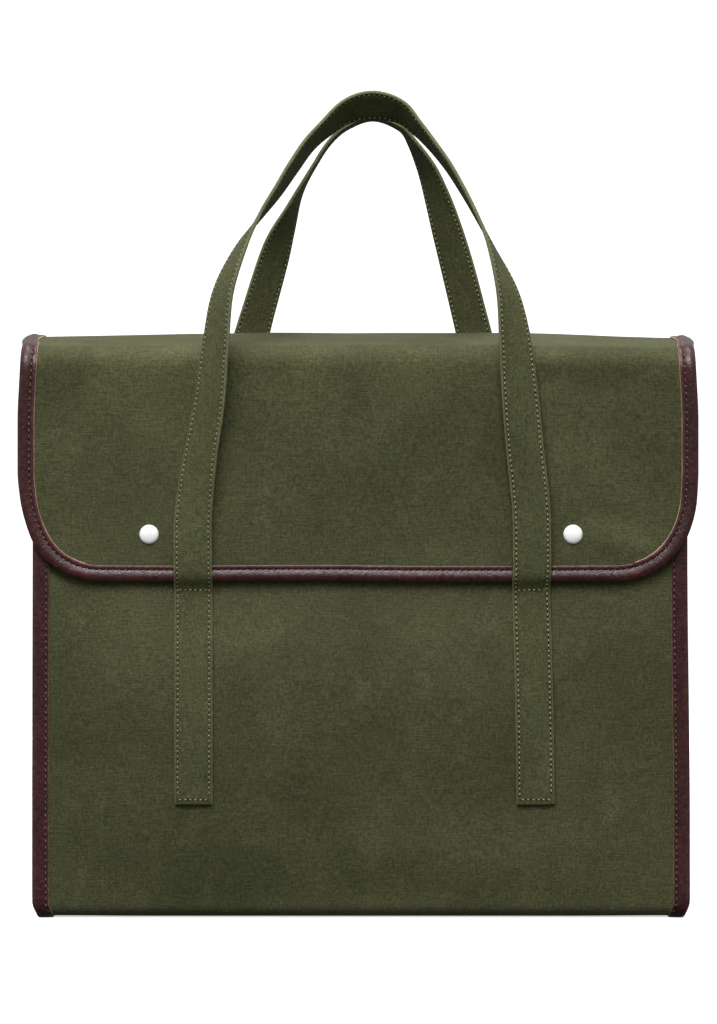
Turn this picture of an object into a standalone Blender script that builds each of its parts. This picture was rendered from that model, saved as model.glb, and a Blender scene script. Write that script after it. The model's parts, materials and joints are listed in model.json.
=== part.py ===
"""Satchel bag in waxed canvas with leather-bound seams, a snap-down flap and two strap handles.

Frame: metres, +Z up, +Y towards the back of the bag, origin on the ground under its middle.
The front of the bag faces -Y. "Out" below means away from the middle of the bag, along -Y on
the front and along +Y on the back.
"""

import math

import bmesh
import bpy
from mathutils import Vector

# ---------------------------------------------------------------- driving dimensions (metres)
BODY_WIDTH = 0.420  # over the leather bindings of the side seams
BODY_DEPTH = 0.090  # over the front and back panels
BODY_HEIGHT = 0.359  # ground to the top edge of the front panel
TOP_RISE = 0.012  # how much higher the mouth is at the back than at the front

CANVAS = 0.0016  # one layer of waxed canvas
LEATHER = 0.0010  # binding leather
STRAP = 0.0024  # folded and sewn handle strap
GAP = 0.0003  # clearance between pieces that touch

SEAM_BINDING_WIDTH = 0.0105
FLAP_BINDING_WIDTH = 0.0105
BINDING_EDGE = 0.0006  # rounding of a binding where it turns over its edge
BASE_CORNER = 0.008  # bend from the base up into the front and back, at mid-canvas

FLAP_OVERHANG = 0.007  # flap past the body on each side
FLAP_DROP = 0.1495  # flap front, from the top fold to its lower edge
FLAP_CORNER = 0.053
YOKE_DROP = 0.042  # flap canvas sewn down on the back, below the back fold
MOUTH_CLEARANCE = 0.0012  # between the body's top edges and the flap above them

STRAP_WIDTH = 0.0245
FOOT_SPREAD = 0.217  # between the middles of a handle's two feet
FOOT_LENGTH = 0.134
HINGE_DROP = 0.007  # a handle's bending line, below the flap's lower edge
RAMP_START = 0.0010  # the strap leaves the bending line upright for this far
RAMP_HEIGHT = 0.006  # and by this height it has risen from the body to lie over the flap
FOLD_LEAD = 0.006  # the strap stays flat this far above the top fold
HANDLE_PULL_UP = 0.038  # stiffness of the strap's curve at the fold
HANDLE_PULL_GRIP = 0.037  # and at the grip

FRONT_FOLD_SPREAD = 0.188  # between the two straps where they pass the top fold
FRONT_GRIP_RISE = 0.154  # middle of the grip above the front top fold
FRONT_GRIP_INSET = 0.030  # how far the grip leans in over the mouth
FRONT_GRIP_TWIST = math.radians(138)
REAR_FOLD_SPREAD = 0.150
REAR_GRIP_RISE = 0.136
REAR_GRIP_INSET = 0.034
REAR_GRIP_TWIST = math.radians(92)
TWIST_LEAD = 1.15  # above 1, the strap has turned fully before the middle of its grip

SNAP_SPREAD = 0.270  # between the two snap fasteners
SNAP_ABOVE_EDGE = 0.0305  # snap centre above the flap's lower edge
CAP_RADIUS = 0.0062
CAP_HEIGHT = 0.0028
CAP_RIM = 0.0006
CAP_POST_RADIUS = 0.0015
SOCKET_RADIUS = 0.0050
SOCKET_HEIGHT = 0.0015
BALL_RADIUS = 0.0019
BALL_TIP_RADIUS = 0.0013  # the flat on the ball's top
STUD_HEIGHT = 0.0019  # flange, neck and ball together
STUD_FLANGE_RADIUS = 0.0042
STUD_FLANGE = 0.0005
STUD_NECK_RADIUS = 0.0014
STUD_NECK = 0.0004
POST_FLANGE_RADIUS = 0.0040
POST_FLANGE = 0.0006
POST_SHANK_RADIUS = 0.0012
HOLE_CLEARANCE = 0.0003  # around a post in its hole
SOCKET_CLEARANCE = 0.0004  # around the ball in its socket

ARC_STEPS = 8
STRAP_STEPS = 22
ROUND_STEPS = 28

# ---------------------------------------------------------------- places worked out from them
HALF_WIDTH = BODY_WIDTH / 2
HALF_DEPTH = BODY_DEPTH / 2
WRAP = LEATHER + GAP  # what a binding adds outside the canvas it holds
BOUND = CANVAS + 2 * WRAP  # canvas with its binding on both faces

PANEL_OUT = HALF_DEPTH - CANVAS / 2  # middle of the front and back canvas
BASE_MIDDLE = WRAP + CANVAS / 2  # middle of the base canvas; the bindings touch the ground
SEAM_OUT = HALF_DEPTH + WRAP  # outer face of the side seam bindings

FLAP_HALF = HALF_WIDTH + FLAP_OVERHANG
FLAP_INNER = SEAM_OUT + GAP  # inner face of the bound flap edge
FLAP_OUT = FLAP_INNER + BOUND / 2  # middle of the flap's front canvas and of its yoke
FLAP_FACE = FLAP_INNER + BOUND  # outer face of the bound flap edge
HINGE_OUT = FLAP_FACE + GAP  # the flap's two fold lines

SLOPE = math.atan2(TOP_RISE, 2 * HINGE_OUT)
LID_STACK = (BOUND + GAP) / math.cos(SLOPE)  # from the fold lines down to the lid's underside
FRONT_FOLD_Z = BODY_HEIGHT + MOUTH_CLEARANCE + LID_STACK - math.tan(SLOPE) * (HINGE_OUT - HALF_DEPTH)
BACK_FOLD_Z = FRONT_FOLD_Z + TOP_RISE
FLAP_EDGE_Z = FRONT_FOLD_Z - FLAP_DROP

HANDLE_HINGE_Z = FLAP_EDGE_Z - HINGE_DROP
FOOT_OUT = HALF_DEPTH + GAP + STRAP / 2  # middle of a strap where it is sewn to the body
STRAP_OUT = FLAP_FACE + GAP + STRAP / 2  # middle of a strap where it lies over the flap
HANDLE_HINGE_OUT = FOOT_OUT + STRAP / 2 + GAP
SNAP_Z = FLAP_EDGE_Z + SNAP_ABOVE_EDGE

FRONT = Vector((0, -1, 0))
BACK = Vector((0, 1, 0))
UP = Vector((0, 0, 1))


def mouth_edge(y):
    """Height of the body's top edge at depth y: it follows the underside of the flap's top."""
    fold_line = FRONT_FOLD_Z + math.tan(SLOPE) * (y + HINGE_OUT)
    return fold_line - LID_STACK - MOUTH_CLEARANCE


# ---------------------------------------------------------------- scene and materials
for old in list(bpy.data.objects):
    bpy.data.objects.remove(old)
bag = bpy.data.collections.new("satchel_bag")
bpy.context.scene.collection.children.link(bag)


def make_material(name, colour, roughness, metallic=0.0):
    material = bpy.data.materials.new(name)
    material.use_nodes = True
    shader = material.node_tree.nodes["Principled BSDF"]
    shader.inputs["Base Color"].default_value = (*colour, 1.0)
    shader.inputs["Roughness"].default_value = roughness
    shader.inputs["Metallic"].default_value = metallic
    material.diffuse_color = (*colour, 1.0)
    return material


OLIVE = (0.063, 0.066, 0.034)
OXBLOOD = (0.045, 0.018, 0.016)
SATIN = (0.80, 0.79, 0.77)


# ---------------------------------------------------------------- ways of making a piece
def add_piece(name, data, colour, roughness, metallic=0.0):
    piece = bpy.data.objects.new(name, data)
    piece.data.materials.append(make_material(name, colour, roughness, metallic))
    bag.objects.link(piece)
    return piece


def canvas_piece(name, data):
    return add_piece(name, data, OLIVE, 0.75)


def leather_piece(name, data):
    return add_piece(name, data, OXBLOOD, 0.40)


def metal_piece(name, data):
    return add_piece(name, data, SATIN, 0.30, 1.0)


def arc(centre, radius, start, end, steps=ARC_STEPS):
    """Points on an arc in a plane, from angle start to angle end, both included."""
    angles = [start + (end - start) * i / steps for i in range(steps + 1)]
    return [(centre[0] + radius * math.cos(a), centre[1] + radius * math.sin(a)) for a in angles]


def flat_outline(name, outline, thickness, holes=()):
    """A flat canvas shape: a 2D curve extruded by half its thickness to each side."""
    curve = bpy.data.curves.new(name, "CURVE")
    curve.dimensions = "2D"
    curve.fill_mode = "BOTH"
    curve.extrude = thickness / 2
    for points in (outline, *holes):
        spline = curve.splines.new("POLY")
        spline.points.add(len(points) - 1)
        for point, (x, y) in zip(spline.points, points):
            point.co = (x, y, 0, 1)
        spline.use_cyclic_u = True
    return curve


def sheet_rows(name, rows):
    """An open sheet of quads through a grid of points, one list of points a row."""
    mesh = bpy.data.meshes.new(name)
    bm = bmesh.new()
    across = len(rows) - 1
    along = len(rows[0]) - 1
    bmesh.ops.create_grid(bm, x_segments=across, y_segments=along, size=1)
    for vert in bm.verts:
        row = round((vert.co.x + 1) / 2 * across)
        place = round((vert.co.y + 1) / 2 * along)
        vert.co = rows[row][place]
    bmesh.ops.recalc_face_normals(bm, faces=bm.faces)
    bm.to_mesh(mesh)
    bm.free()
    return mesh


def thicken(piece, thickness):
    solidify = piece.modifiers.new("thickness", "SOLIDIFY")
    solidify.thickness = thickness
    solidify.offset = 0
    solidify.use_even_offset = True
    return piece


def turned_piece(name, profile, out, x):
    """A round metal piece facing forwards: profile is (radius, distance outwards) from its top."""
    mesh = bpy.data.meshes.new(name)
    bm = bmesh.new()
    verts = [bm.verts.new((radius, 0, height)) for radius, height in profile]
    for first, second in zip(verts, verts[1:]):
        bm.edges.new((first, second))
    if profile[0][0] > 0:
        bm.edges.new((verts[-1], verts[0]))
    bm.to_mesh(mesh)
    bm.free()
    piece = metal_piece(name, mesh)
    screw = piece.modifiers.new("turn", "SCREW")
    screw.angle = math.tau
    screw.steps = ROUND_STEPS
    screw.render_steps = ROUND_STEPS
    screw.use_merge_vertices = True
    screw.merge_threshold = 0.00005
    screw.use_smooth_shade = True
    piece.rotation_euler = (math.pi / 2, 0, 0)
    piece.location = FRONT * out + Vector((x, 0, SNAP_Z))
    return piece


def upright(piece, out, facing):
    """Stands a flat outline up so that its x runs along X and its y along Z."""
    piece.rotation_euler = (math.pi / 2, 0, 0)
    piece.location = facing * out
    return piece


def bound_edge(name, stations, width):
    """A leather strip folded over an edge. A station is (point on the outer edge, inward, across)."""
    face = CANVAS / 2 + GAP + LEATHER / 2
    nose = LEATHER / 2
    corner = BINDING_EDGE
    section = [
        (width, face),
        (nose + corner, face),
        (nose, face - corner),
        (nose, corner - face),
        (nose + corner, -face),
        (width, -face),
    ]
    rows = [
        [point + inward * depth + across * side for depth, side in section]
        for point, inward, across in stations
    ]
    return thicken(leather_piece(name, sheet_rows(name, rows)), LEATHER)


def circle(x, y, radius):
    points = arc((x, y), radius, 0, math.tau, ROUND_STEPS)
    return points[:-1]


# ---------------------------------------------------------------- joints
def hinge_empty(name, out, z, facing, parent=None):
    empty = bpy.data.objects.new(name, None)
    empty.empty_display_size = 0.02
    empty.location = facing * out + UP * z
    bag.objects.link(empty)
    bpy.context.view_layer.update()
    if parent:
        attach(empty, parent)
    return empty


def attach(piece, empty):
    """Hangs a piece on a joint, staying where it is."""
    bpy.context.view_layer.update()
    piece.parent = empty
    piece.matrix_parent_inverse = empty.matrix_world.inverted()
    return piece


flap_top_hinge = hinge_empty("flap_top_hinge", HINGE_OUT, BACK_FOLD_Z, BACK)
flap_front_hinge = hinge_empty("flap_front_hinge", HINGE_OUT, FRONT_FOLD_Z, FRONT, flap_top_hinge)
front_handle_hinge = hinge_empty("front_handle_hinge", HANDLE_HINGE_OUT, HANDLE_HINGE_Z, FRONT)
rear_handle_hinge = hinge_empty("rear_handle_hinge", HANDLE_HINGE_OUT, HANDLE_HINGE_Z, BACK)

# ---------------------------------------------------------------- body: panels, base, gussets
PANEL_HALF = HALF_WIDTH - WRAP
PANEL_BOTTOM = BASE_MIDDLE + BASE_CORNER + GAP / 2
GUSSET_OUT = HALF_WIDTH - SEAM_BINDING_WIDTH - GAP - CANVAS / 2
GUSSET_INSET = PANEL_OUT - CANVAS / 2 - GAP


def make_panel(name, facing, holes=()):
    top = mouth_edge(facing.y * HALF_DEPTH)
    outline = [
        (-PANEL_HALF, PANEL_BOTTOM),
        (PANEL_HALF, PANEL_BOTTOM),
        (PANEL_HALF, top),
        (-PANEL_HALF, top),
    ]
    return upright(canvas_piece(name, flat_outline(name, outline, CANVAS, holes)), PANEL_OUT, facing)


post_hole = POST_SHANK_RADIUS + HOLE_CLEARANCE
make_panel("front_panel", FRONT, [circle(side * SNAP_SPREAD / 2, SNAP_Z, post_hole) for side in (-1, 1)])
make_panel("back_panel", BACK)


def base_line(rise=0.0):
    """(y, z) along the middle of the base canvas, up its two bends, front to back."""
    inner = PANEL_OUT - BASE_CORNER
    centre_z = BASE_MIDDLE + BASE_CORNER
    front = arc((-inner, centre_z), BASE_CORNER, math.pi, 1.5 * math.pi)
    back = arc((inner, centre_z), BASE_CORNER, 1.5 * math.pi, math.tau)
    return [(y, z + rise) for y, z in front + back]


def make_base():
    line = base_line(rise=-GAP / 2)
    rows = [[Vector((side * PANEL_HALF, y, z)) for y, z in line] for side in (-1, 1)]
    return thicken(canvas_piece("base_panel", sheet_rows("base_panel", rows)), CANVAS)


make_base()


def make_gusset(name, side):
    """A side panel between front and back, its lower corners following the base's bends."""
    corner = BASE_CORNER - CANVAS / 2 - GAP
    bottom = BASE_MIDDLE + CANVAS / 2 + GAP
    inner = GUSSET_INSET - corner
    outline = arc((-inner, bottom + corner), corner, math.pi, 1.5 * math.pi)
    outline += arc((inner, bottom + corner), corner, 1.5 * math.pi, math.tau)
    outline += [(GUSSET_INSET, mouth_edge(GUSSET_INSET)), (-GUSSET_INSET, mouth_edge(-GUSSET_INSET))]
    piece = canvas_piece(name, flat_outline(name, outline, CANVAS))
    piece.rotation_euler = (math.pi / 2, 0, math.pi / 2)
    piece.location = (side * GUSSET_OUT, 0, 0)
    return piece


def make_seam_binding(name, side):
    """One strip round a side seam: down the front, under the base and up the back."""
    line = [(-PANEL_OUT, mouth_edge(-HALF_DEPTH)), *base_line(), (PANEL_OUT, mouth_edge(HALF_DEPTH))]
    stations = []
    for i, (y, z) in enumerate(line):
        before = Vector(line[max(i - 1, 0)])
        after = Vector(line[min(i + 1, len(line) - 1)])
        run = (after - before).normalized()
        if i in (0, 1):
            run = Vector((0, -1))
        if i in (len(line) - 2, len(line) - 1):
            run = Vector((0, 1))
        outwards = Vector((0, run.y, -run.x))
        stations.append((Vector((side * HALF_WIDTH, y, z)), Vector((-side, 0, 0)), outwards))
    return bound_edge(name, stations, SEAM_BINDING_WIDTH)


for side_name, side in (("left", -1), ("right", 1)):
    make_gusset(f"{side_name}_gusset", side)
    make_seam_binding(f"{side_name}_seam_binding", side)

# ---------------------------------------------------------------- flap: yoke, top, front
FLAP_CANVAS_HALF = FLAP_HALF - WRAP
LID_TOP_Z = FRONT_FOLD_Z - LID_STACK - 2 * GAP  # the flap's front ends here, under the lid
YOKE_TOP_Z = BACK_FOLD_Z - LID_STACK - math.tan(SLOPE) * BOUND - 2 * GAP
YOKE_BOTTOM_Z = BACK_FOLD_Z - YOKE_DROP


def rectangle(half_width, low, high):
    return [(-half_width, low), (half_width, low), (half_width, high), (-half_width, high)]


def side_binding(name, side, start, end, across):
    inward = Vector((-side, 0, 0))
    stations = [(Vector((side * FLAP_HALF, *place)), inward, across) for place in (start, end)]
    return bound_edge(name, stations, FLAP_BINDING_WIDTH)


yoke = flat_outline("flap_yoke", rectangle(FLAP_CANVAS_HALF, YOKE_BOTTOM_Z, YOKE_TOP_Z), CANVAS)
upright(canvas_piece("flap_yoke", yoke), FLAP_OUT, BACK)

lid_along = Vector((0, math.cos(SLOPE), math.sin(SLOPE)))
lid_up = Vector((0, -math.sin(SLOPE), math.cos(SLOPE)))
lid_length = 2 * HINGE_OUT / math.cos(SLOPE) - 2 * (GAP + (BOUND + GAP) * math.tan(SLOPE))
lid_middle = UP * (FRONT_FOLD_Z + BACK_FOLD_Z) / 2 - lid_up * (GAP + BOUND / 2)
lid_ends = [(lid_middle + lid_along * reach).yz for reach in (-lid_length / 2, lid_length / 2)]
yoke_ends = [(FLAP_OUT, YOKE_BOTTOM_Z), (FLAP_OUT, YOKE_TOP_Z)]

lid = flat_outline("flap_top_panel", rectangle(FLAP_CANVAS_HALF, -lid_length / 2, lid_length / 2), CANVAS)
lid_piece = canvas_piece("flap_top_panel", lid)
lid_piece.rotation_euler = (SLOPE, 0, 0)
lid_piece.location = lid_middle
attach(lid_piece, flap_top_hinge)

for side_name, side in (("left", -1), ("right", 1)):
    side_binding(f"{side_name}_yoke_binding", side, *yoke_ends, BACK)
    lid_binding = side_binding(f"{side_name}_top_binding", side, *lid_ends, lid_up)
    attach(lid_binding, flap_top_hinge)


def flap_line(inset):
    """The flap front's outline from its top left, round the two lower corners, to its top right."""
    half = FLAP_HALF - inset
    bottom = FLAP_EDGE_Z + inset
    radius = FLAP_CORNER - inset
    left = arc((radius - half, bottom + radius), radius, math.pi, 1.5 * math.pi)
    right = arc((half - radius, bottom + radius), radius, 1.5 * math.pi, math.tau)
    return [(-half, LID_TOP_Z), *left, *right, (half, LID_TOP_Z)]


cap_hole = CAP_POST_RADIUS + HOLE_CLEARANCE
cap_holes = [circle(side * SNAP_SPREAD / 2, SNAP_Z, cap_hole) for side in (-1, 1)]
flap_front = flat_outline("flap_front_panel", flap_line(WRAP), CANVAS, cap_holes)
attach(upright(canvas_piece("flap_front_panel", flap_front), FLAP_OUT, FRONT), flap_front_hinge)


def make_flap_binding(name):
    """One strip folded over the flap front's edge."""
    stations = []
    for (x, z), (inner_x, inner_z) in zip(flap_line(0.0), flap_line(FLAP_BINDING_WIDTH)):
        inward = Vector((inner_x - x, 0, inner_z - z))
        if abs(z - LID_TOP_Z) < GAP:
            inward.z = 0
        stations.append((Vector((x, -FLAP_OUT, z)), inward.normalized(), FRONT))
    return bound_edge(name, stations, FLAP_BINDING_WIDTH)


attach(make_flap_binding("flap_edge_binding"), flap_front_hinge)


# ---------------------------------------------------------------- handles: sewn feet, loops
def make_foot(name, side, facing):
    """The end of a handle strap, sewn flat on a body panel."""
    top = HANDLE_HINGE_Z - GAP
    half = STRAP_WIDTH / 2
    outline = [(x + side * FOOT_SPREAD / 2, z) for x, z in rectangle(half, top - FOOT_LENGTH, top)]
    return upright(canvas_piece(name, flat_outline(name, outline, STRAP)), FOOT_OUT, facing)


def smooth(t):
    return t * t * (3 - 2 * t)


def bezier(points, t):
    a, b, c, d = points
    s = 1 - t
    return a * s**3 + b * 3 * s * s * t + c * 3 * s * t * t + d * t**3


def half_handle(facing, fold_z, fold_spread, grip_rise, grip_inset, twist):
    """(middle, turn) along the left half of a loop, from its foot to the middle of its grip."""
    foot_x = -FOOT_SPREAD / 2
    fold_x = -fold_spread / 2
    leg_top = fold_z + FOLD_LEAD
    start = Vector((foot_x, 0, HANDLE_HINGE_Z + GAP)) + facing * FOOT_OUT
    ramp = start + UP * RAMP_START
    over_flap = Vector((foot_x, 0, HANDLE_HINGE_Z + GAP + RAMP_HEIGHT)) + facing * STRAP_OUT
    fold = Vector((fold_x, 0, leg_top)) + facing * STRAP_OUT
    grip = Vector((0, 0, fold_z + grip_rise)) + facing * (STRAP_OUT - grip_inset)
    lean = facing * (-grip_inset * HANDLE_PULL_UP / grip_rise)
    curve = [fold, fold + UP * HANDLE_PULL_UP + lean, grip - Vector((HANDLE_PULL_GRIP, 0, 0)), grip]
    half = [(start, 0.0), (ramp, 0.0), (over_flap, 0.0)]
    half += [(over_flap.lerp(fold, share), 0.0) for share in (0.5, 1.0)]
    for i in range(1, STRAP_STEPS + 1):
        t = i / STRAP_STEPS
        half.append((bezier(curve, t), smooth(min(1.0, TWIST_LEAD * t)) * twist))
    return half


def make_loop(name, facing, fold_z, fold_spread, grip_rise, grip_inset, twist):
    """A handle strap from foot to foot, turning to lie flat in the hand at its grip."""
    half = half_handle(facing, fold_z, fold_spread, grip_rise, grip_inset, twist)
    mirrored = [(Vector((-middle.x, middle.y, middle.z)), turn) for middle, turn in reversed(half[:-1])]
    path = half + mirrored
    rows = []
    for i, (middle, turn) in enumerate(path):
        before = path[max(i - 1, 0)][0]
        after = path[min(i + 1, len(path) - 1)][0]
        run = (after - before).normalized()
        level = Vector((run.z, 0, -run.x)).normalized()
        across = level * math.cos(turn) + facing * math.sin(turn)
        across = (across - run * across.dot(run)).normalized() * (STRAP_WIDTH / 2)
        if i in (0, len(path) - 1):
            across = Vector((math.copysign(STRAP_WIDTH / 2, across.x), 0, 0))
        rows.append([middle - across, middle + across])
    return thicken(canvas_piece(name, sheet_rows(name, rows)), STRAP)


FRONT_SHAPE = (FRONT_FOLD_Z, FRONT_FOLD_SPREAD, FRONT_GRIP_RISE, FRONT_GRIP_INSET, FRONT_GRIP_TWIST)
REAR_SHAPE = (BACK_FOLD_Z, REAR_FOLD_SPREAD, REAR_GRIP_RISE, REAR_GRIP_INSET, REAR_GRIP_TWIST)
HANDLES = (
    ("front", FRONT, front_handle_hinge, FRONT_SHAPE),
    ("rear", BACK, rear_handle_hinge, REAR_SHAPE),
)
for which, facing, hinge, shape in HANDLES:
    attach(make_loop(f"{which}_handle_loop", facing, *shape), hinge)
    for side_name, side in (("left", -1), ("right", 1)):
        make_foot(f"{which}_{side_name}_handle_foot", side, facing)

# ---------------------------------------------------------------- snap fasteners
CAP_BASE = FLAP_OUT + CANVAS / 2 + GAP
CAP_POST_END = FLAP_OUT - CANVAS / 2
SOCKET_BASE = FLAP_OUT - CANVAS / 2 - GAP - SOCKET_HEIGHT
STUD_BASE = HALF_DEPTH + GAP
POST_BASE = HALF_DEPTH - CANVAS - GAP


def cap_profile():
    """A domed cap with the post that goes through the flap."""
    dome = arc((0, 0), 1.0, math.pi / 2, 0)
    rise = CAP_HEIGHT - CAP_RIM
    curve = [(x * CAP_RADIUS, CAP_RIM + y * rise) for x, y in dome[1:-1]]
    profile = [(0, CAP_HEIGHT), *curve, (CAP_RADIUS, CAP_RIM)]
    end = CAP_POST_END - CAP_BASE
    return [*profile, (CAP_RADIUS, 0), (CAP_POST_RADIUS, 0), (CAP_POST_RADIUS, end), (0, end)]


def socket_profile():
    """A ring that the stud's ball presses into."""
    bore = BALL_RADIUS + SOCKET_CLEARANCE
    return [(bore, SOCKET_HEIGHT), (SOCKET_RADIUS, SOCKET_HEIGHT), (SOCKET_RADIUS, 0), (bore, 0)]


def stud_profile():
    """A flange with a necked ball on it."""
    neck_end = STUD_FLANGE + STUD_NECK
    return [
        (0, STUD_HEIGHT),
        (BALL_TIP_RADIUS, STUD_HEIGHT),
        (BALL_RADIUS, (STUD_HEIGHT + neck_end) / 2),
        (STUD_NECK_RADIUS, neck_end),
        (STUD_NECK_RADIUS, STUD_FLANGE),
        (STUD_FLANGE_RADIUS, STUD_FLANGE),
        (STUD_FLANGE_RADIUS, 0),
        (0, 0),
    ]


def post_profile():
    """The rivet that holds the stud, from inside the bag."""
    return [
        (0, CANVAS + GAP),
        (POST_SHANK_RADIUS, CANVAS + GAP),
        (POST_SHANK_RADIUS, 0),
        (POST_FLANGE_RADIUS, 0),
        (POST_FLANGE_RADIUS, -POST_FLANGE),
        (0, -POST_FLANGE),
    ]


for side_name, side in (("left", -1), ("right", 1)):
    x = side * SNAP_SPREAD / 2
    attach(turned_piece(f"{side_name}_snap_cap", cap_profile(), CAP_BASE, x), flap_front_hinge)
    attach(turned_piece(f"{side_name}_snap_socket", socket_profile(), SOCKET_BASE, x), flap_front_hinge)
    turned_piece(f"{side_name}_snap_stud", stud_profile(), STUD_BASE, x)
    turned_piece(f"{side_name}_snap_post", post_profile(), POST_BASE, x)
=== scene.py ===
# %% [markdown]
# # A satchel bag in waxed canvas
# The bag is cut from stiff waxed cotton: one cloth runs down the front, under the base and up the
# back, two gussets close the sides, and a flap folds over the mouth. Leather strip binds every raw
# edge, and two folded canvas straps are sewn on as handles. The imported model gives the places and
# the hinges. This lesson cuts each piece as flat goods, lays it on the frame, and sews it.

import json
import math

import bmesh
import bpy
from mathutils import Matrix, Vector, noise


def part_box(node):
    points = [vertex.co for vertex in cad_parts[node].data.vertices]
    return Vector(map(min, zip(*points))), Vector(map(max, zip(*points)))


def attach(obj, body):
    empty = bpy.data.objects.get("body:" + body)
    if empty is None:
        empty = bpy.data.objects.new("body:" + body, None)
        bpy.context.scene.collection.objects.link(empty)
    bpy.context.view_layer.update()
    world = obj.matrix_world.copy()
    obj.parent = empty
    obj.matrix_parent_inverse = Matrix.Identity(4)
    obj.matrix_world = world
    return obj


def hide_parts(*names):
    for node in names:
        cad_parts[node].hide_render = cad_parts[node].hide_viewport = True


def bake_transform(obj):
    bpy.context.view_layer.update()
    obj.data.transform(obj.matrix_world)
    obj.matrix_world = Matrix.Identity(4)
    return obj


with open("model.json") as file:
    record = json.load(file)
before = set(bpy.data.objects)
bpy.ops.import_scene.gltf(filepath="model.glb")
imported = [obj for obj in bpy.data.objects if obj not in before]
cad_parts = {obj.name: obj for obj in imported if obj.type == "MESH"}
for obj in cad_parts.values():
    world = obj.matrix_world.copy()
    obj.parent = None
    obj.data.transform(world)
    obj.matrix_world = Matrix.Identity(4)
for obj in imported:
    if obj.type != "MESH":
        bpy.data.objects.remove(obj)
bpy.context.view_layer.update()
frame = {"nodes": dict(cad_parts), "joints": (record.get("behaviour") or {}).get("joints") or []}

# %% [markdown]
# ## Places and thicknesses
# Every size is read from the frame's solids, so that the looks sit where the model works. The sides
# are mirrored, so one number does for both. "Out" is the distance from the bag's middle, towards
# the front on the front and towards the back on the back.

# %% Measure the frame
panel_low, panel_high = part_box("front_panel")
seam_low, seam_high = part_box("right_seam_binding")
foot_low, foot_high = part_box("front_right_handle_foot")
flap_low, flap_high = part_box("flap_front_panel")
edge_low, edge_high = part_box("flap_edge_binding")
gusset_low, gusset_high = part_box("right_gusset")
cap_low, cap_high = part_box("right_snap_cap")
hinges = {joint["name"]: Vector(joint["pos_m"]) for joint in frame["joints"]}

SIDES = (("left", -1), ("right", 1))
CANVAS = panel_high.y - panel_low.y
LEATHER = 0.0010
GAP = 0.0003
WRAP = LEATHER + GAP
HALF_WIDTH = seam_high.x
PANEL_OUT = -(panel_low.y + panel_high.y) / 2
BASE_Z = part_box("base_panel")[0].z + CANVAS / 2
FRONT_TOP = panel_high.z
BACK_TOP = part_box("back_panel")[1].z
BASE_CORNER = 0.008  # radius of the fold at the bottom edges
FLAP_HALF = edge_high.x
FLAP_OUT = -(flap_low.y + flap_high.y) / 2
FLAP_EDGE = edge_low.z
FLAP_CORNER = 0.053  # radius of the flap's lower corners
BINDING = seam_high.x - seam_low.x
YOKE_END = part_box("flap_yoke")[0].z
FRONT_FOLD = hinges["flap_front_fold"]
BACK_FOLD = hinges["flap_back_fold"]
LID_DROP = 0.0024  # how far the top's cloth lies below the line between the hinges
HANDLE_HINGE = hinges["front_handle_swing"]
STRAP = foot_high.y - foot_low.y
STRAP_WIDTH = foot_high.x - foot_low.x
SNAP = (cap_low + cap_high) / 2
print(f"body {2 * HALF_WIDTH * 1000:.0f} mm wide, flap {2 * FLAP_HALF * 1000:.0f} mm wide")
print(f"canvas {CANVAS * 1000:.1f} mm, strap {STRAP_WIDTH * 1000:.1f} x {STRAP * 1000:.1f} mm")


# %% Small helpers for numbers
def smooth(share):
    """0 to 1 with soft ends, and held there outside them."""
    share = min(1.0, max(0.0, share))
    return share * share * (3 - 2 * share)


def between(value, low, high):
    """How far value has come from low to high, softly."""
    return smooth((value - low) / (high - low))


def hump(value, middle, reach):
    """1 at the middle, 0 from reach away."""
    return 1 - smooth(abs(value - middle) / reach)


def drift(x, y, z, size, seed=0.0):
    """Slow random swell between about -1 and 1; size is the distance over which it changes."""
    return noise.noise(Vector((x / size + seed, y / size - seed, z / size + 2 * seed)))


# %% [markdown]
# ## Cloth that lies along a bent line
# Seen from the side, the body and the flap are each one line of cloth with rounded corners. A line is
# a row of points with the distance travelled to each, so any distance gives a place and an outward
# direction. Cloth and leather are both laid on such lines, which keeps them together.

# %% Bent lines
def rounded_line(corners, radii, steps=10):
    """Points along a bent line, with each inner corner rounded to its radius."""
    points = [corners[0]]
    for before, corner, after, radius in zip(corners, corners[1:], corners[2:], radii):
        back = (before - corner).normalized()
        ahead = (after - corner).normalized()
        half = back.angle(ahead) / 2
        centre = corner + (back + ahead).normalized() * (radius / math.sin(half))
        start = corner + back * (radius / math.tan(half)) - centre
        turn = (-back).rotation_difference(ahead)
        axis, angle = turn.to_axis_angle()
        for i in range(steps + 1):
            points.append(centre + Matrix.Rotation(angle * i / steps, 3, axis) @ start)
    points.append(corners[-1])
    return points


def spaced(points, spacing):
    """The same line with its long straight runs divided."""
    line = [points[0]]
    for before, after in zip(points, points[1:]):
        parts = max(1, math.ceil((after - before).length / spacing))
        line += [before.lerp(after, i / parts) for i in range(1, parts + 1)]
    return line


def travelled(points):
    """Distance along the line to each of its points."""
    distances = [0.0]
    for before, after in zip(points, points[1:]):
        distances.append(distances[-1] + (after - before).length)
    return distances


def outward(points, i):
    """Direction away from the cloth's outer face at point i of a line in the YZ plane."""
    run = points[min(i + 1, len(points) - 1)] - points[max(i - 1, 0)]
    return Vector((0, run.z, -run.y)).normalized()


# %% The body's line and the flap's line
def lid_height(y):
    """Middle of the flap's top, which rises from the front fold to the back one."""
    rise = (BACK_FOLD.z - FRONT_FOLD.z) / (BACK_FOLD.y - FRONT_FOLD.y)
    return FRONT_FOLD.z + rise * (y - FRONT_FOLD.y) - LID_DROP


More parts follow.
